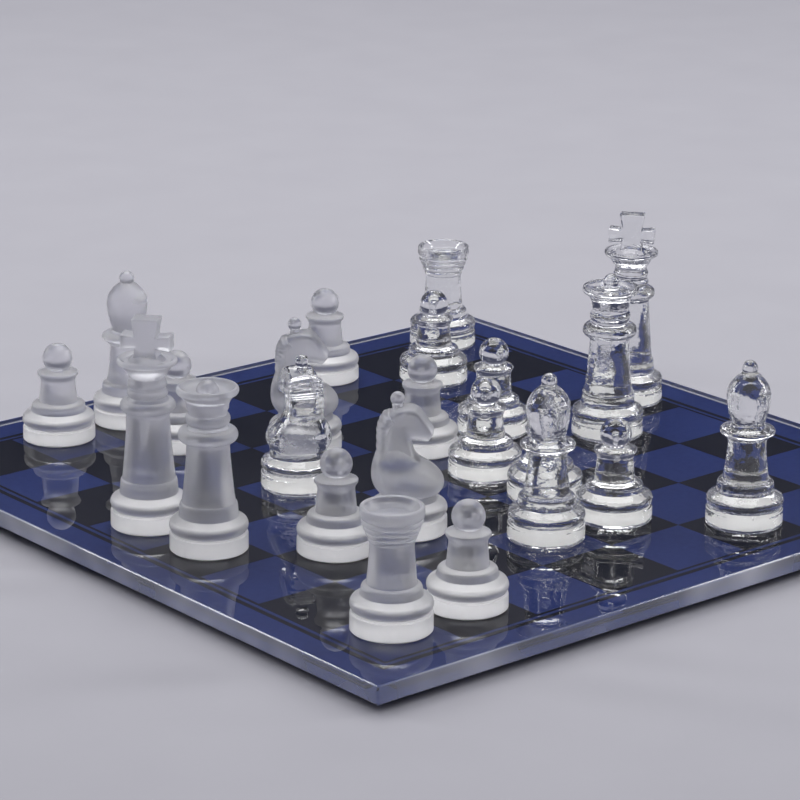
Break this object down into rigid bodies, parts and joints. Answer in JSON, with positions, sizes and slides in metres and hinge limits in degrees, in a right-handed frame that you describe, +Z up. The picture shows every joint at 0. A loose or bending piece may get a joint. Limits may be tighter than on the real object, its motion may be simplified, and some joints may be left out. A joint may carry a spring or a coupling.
{
  "type": "chess set",
  "caption": "Glass chess set: a square glass board with dark and blue squares on small bumper feet, with frosted and clear glass pieces that lift off, set out in mid-game.",
  "frame": {"origin": "under the middle of the board, at the height of the table", "axes": "+Z up; +X runs from the frosted player's side of the board to the clear player's side, along the files; +Y runs along the ranks"},
  "size_m": [0.3092, 0.2662, 0.072],
  "materials": {
    "clear_glass": "polished clear glass",
    "frosted_glass": "acid-etched white satin glass",
    "board_glass": "float glass with polished edges",
    "blue_paint": "blue screen print under the glass",
    "black_paint": "black screen print under the glass",
    "clear_rubber": "clear soft polyurethane"
  },
  "bodies": {
    "board": {"board_glass": "board_glass", "dark_squares": "black_paint", "border_line": "black_paint", "blue_backing": "blue_paint", "bumper_foot_front_left": "clear_rubber", "bumper_foot_front_right": "clear_rubber", "bumper_foot_back_right": "clear_rubber", "bumper_foot_back_left": "clear_rubber"},
    "frosted_king_body": {"frosted_king": "frosted_glass"},
    "frosted_queen_body": {"frosted_queen": "frosted_glass"},
    "frosted_rook_1_body": {"frosted_rook_1": "frosted_glass"},
    "frosted_rook_2_body": {"frosted_rook_2": "frosted_glass"},
    "frosted_bishop_1_body": {"frosted_bishop_1": "frosted_glass"},
    "frosted_bishop_2_body": {"frosted_bishop_2": "frosted_glass"},
    "frosted_knight_1_body": {"frosted_knight_1": "frosted_glass"},
    "frosted_knight_2_body": {"frosted_knight_2": "frosted_glass"},
    "frosted_pawn_1_body": {"frosted_pawn_1": "frosted_glass"},
    "frosted_pawn_2_body": {"frosted_pawn_2": "frosted_glass"},
    "frosted_pawn_3_body": {"frosted_pawn_3": "frosted_glass"},
    "frosted_pawn_4_body": {"frosted_pawn_4": "frosted_glass"},
    "frosted_pawn_5_body": {"frosted_pawn_5": "frosted_glass"},
    "frosted_pawn_6_body": {"frosted_pawn_6": "frosted_glass"},
    "frosted_pawn_7_body": {"frosted_pawn_7": "frosted_glass"},
    "frosted_pawn_8_body": {"frosted_pawn_8": "frosted_glass"},
    "clear_king_body": {"clear_king": "clear_glass"},
    "clear_queen_body": {"clear_queen": "clear_glass"},
    "clear_rook_1_body": {"clear_rook_1": "clear_glass"},
    "clear_rook_2_body": {"clear_rook_2": "clear_glass"},
    "clear_bishop_1_body": {"clear_bishop_1": "clear_glass"},
    "clear_bishop_2_body": {"clear_bishop_2": "clear_glass"},
    "clear_knight_1_body": {"clear_knight_1": "clear_glass"},
    "clear_knight_2_body": {"clear_knight_2": "clear_glass"},
    "clear_pawn_1_body": {"clear_pawn_1": "clear_glass"},
    "clear_pawn_2_body": {"clear_pawn_2": "clear_glass"},
    "clear_pawn_3_body": {"clear_pawn_3": "clear_glass"},
    "clear_pawn_4_body": {"clear_pawn_4": "clear_glass"},
    "clear_pawn_5_body": {"clear_pawn_5": "clear_glass"},
    "clear_pawn_6_body": {"clear_pawn_6": "clear_glass"},
    "clear_pawn_7_body": {"clear_pawn_7": "clear_glass"},
    "clear_pawn_8_body": {"clear_pawn_8": "clear_glass"}
  },
  "joints": [
    {"name": "frosted_king_lift", "type": "slide", "parent": "board", "child": "frosted_king_body", "axis": [0, 0, 1], "range_m": [0, 0.07]},
    {"name": "frosted_queen_lift", "type": "slide", "parent": "board", "child": "frosted_queen_body", "axis": [0, 0, 1], "range_m": [0, 0.07]},
    {"name": "frosted_rook_1_lift", "type": "slide", "parent": "board", "child": "frosted_rook_1_body", "axis": [0, 0, 1], "range_m": [0, 0.07]},
    {"name": "frosted_rook_2_lift", "type": "slide", "parent": "board", "child": "frosted_rook_2_body", "axis": [0, 0, 1], "range_m": [0, 0.07]},
    {"name": "frosted_bishop_1_lift", "type": "slide", "parent": "board", "child": "frosted_bishop_1_body", "axis": [0, 0, 1], "range_m": [0, 0.07]},
    {"name": "frosted_bishop_2_lift", "type": "slide", "parent": "board", "child": "frosted_bishop_2_body", "axis": [0, 0, 1], "range_m": [0, 0.07]},
    {"name": "frosted_knight_1_lift", "type": "slide", "parent": "board", "child": "frosted_knight_1_body", "axis": [0, 0, 1], "range_m": [0, 0.07]},
    {"name": "frosted_knight_2_lift", "type": "slide", "parent": "board", "child": "frosted_knight_2_body", "axis": [0, 0, 1], "range_m": [0, 0.07]},
    {"name": "frosted_pawn_1_lift", "type": "slide", "parent": "board", "child": "frosted_pawn_1_body", "axis": [0, 0, 1], "range_m": [0, 0.07]},
    {"name": "frosted_pawn_2_lift", "type": "slide", "parent": "board", "child": "frosted_pawn_2_body", "axis": [0, 0, 1], "range_m": [0, 0.07]},
    {"name": "frosted_pawn_3_lift", "type": "slide", "parent": "board", "child": "frosted_pawn_3_body", "axis": [0, 0, 1], "range_m": [0, 0.07]},
    {"name": "frosted_pawn_4_lift", "type": "slide", "parent": "board", "child": "frosted_pawn_4_body", "axis": [0, 0, 1], "range_m": [0, 0.07]},
    {"name": "frosted_pawn_5_lift", "type": "slide", "parent": "board", "child": "frosted_pawn_5_body", "axis": [0, 0, 1], "range_m": [0, 0.07]},
    {"name": "frosted_pawn_6_lift", "type": "slide", "parent": "board", "child": "frosted_pawn_6_body", "axis": [0, 0, 1], "range_m": [0, 0.07]},
    {"name": "frosted_pawn_7_lift", "type": "slide", "parent": "board", "child": "frosted_pawn_7_body", "axis": [0, 0, 1], "range_m": [0, 0.07]},
    {"name": "frosted_pawn_8_lift", "type": "slide", "parent": "board", "child": "frosted_pawn_8_body", "axis": [0, 0, 1], "range_m": [0, 0.07]},
    {"name": "clear_king_lift", "type": "slide", "parent": "board", "child": "clear_king_body", "axis": [0, 0, 1], "range_m": [0, 0.07]},
    {"name": "clear_queen_lift", "type": "slide", "parent": "board", "child": "clear_queen_body", "axis": [0, 0, 1], "range_m": [0, 0.07]},
    {"name": "clear_rook_1_lift", "type": "slide", "parent": "board", "child": "clear_rook_1_body", "axis": [0, 0, 1], "range_m": [0, 0.07]},
    {"name": "clear_rook_2_lift", "type": "slide", "parent": "board", "child": "clear_rook_2_body", "axis": [0, 0, 1], "range_m": [0, 0.07]},
    {"name": "clear_bishop_1_lift", "type": "slide", "parent": "board", "child": "clear_bishop_1_body", "axis": [0, 0, 1], "range_m": [0, 0.07]},
    {"name": "clear_bishop_2_lift", "type": "slide", "parent": "board", "child": "clear_bishop_2_body", "axis": [0, 0, 1], "range_m": [0, 0.07]},
    {"name": "clear_knight_1_lift", "type": "slide", "parent": "board", "child": "clear_knight_1_body", "axis": [0, 0, 1], "range_m": [0, 0.07]},
    {"name": "clear_knight_2_lift", "type": "slide", "parent": "board", "child": "clear_knight_2_body", "axis": [0, 0, 1], "range_m": [0, 0.07]},
    {"name": "clear_pawn_1_lift", "type": "slide", "parent": "board", "child": "clear_pawn_1_body", "axis": [0, 0, 1], "range_m": [0, 0.07]},
    {"name": "clear_pawn_2_lift", "type": "slide", "parent": "board", "child": "clear_pawn_2_body", "axis": [0, 0, 1], "range_m": [0, 0.07]},
    {"name": "clear_pawn_3_lift", "type": "slide", "parent": "board", "child": "clear_pawn_3_body", "axis": [0, 0, 1], "range_m": [0, 0.07]},
    {"name": "clear_pawn_4_lift", "type": "slide", "parent": "board", "child": "clear_pawn_4_body", "axis": [0, 0, 1], "range_m": [0, 0.07]},
    {"name": "clear_pawn_5_lift", "type": "slide", "parent": "board", "child": "clear_pawn_5_body", "axis": [0, 0, 1], "range_m": [0, 0.07]},
    {"name": "clear_pawn_6_lift", "type": "slide", "parent": "board", "child": "clear_pawn_6_body", "axis": [0, 0, 1], "range_m": [0, 0.07]},
    {"name": "clear_pawn_7_lift", "type": "slide", "parent": "board", "child": "clear_pawn_7_body", "axis": [0, 0, 1], "range_m": [0, 0.07]},
    {"name": "clear_pawn_8_lift", "type": "slide", "parent": "board", "child": "clear_pawn_8_body", "axis": [0, 0, 1], "range_m": [0, 0.07]}
  ]
}
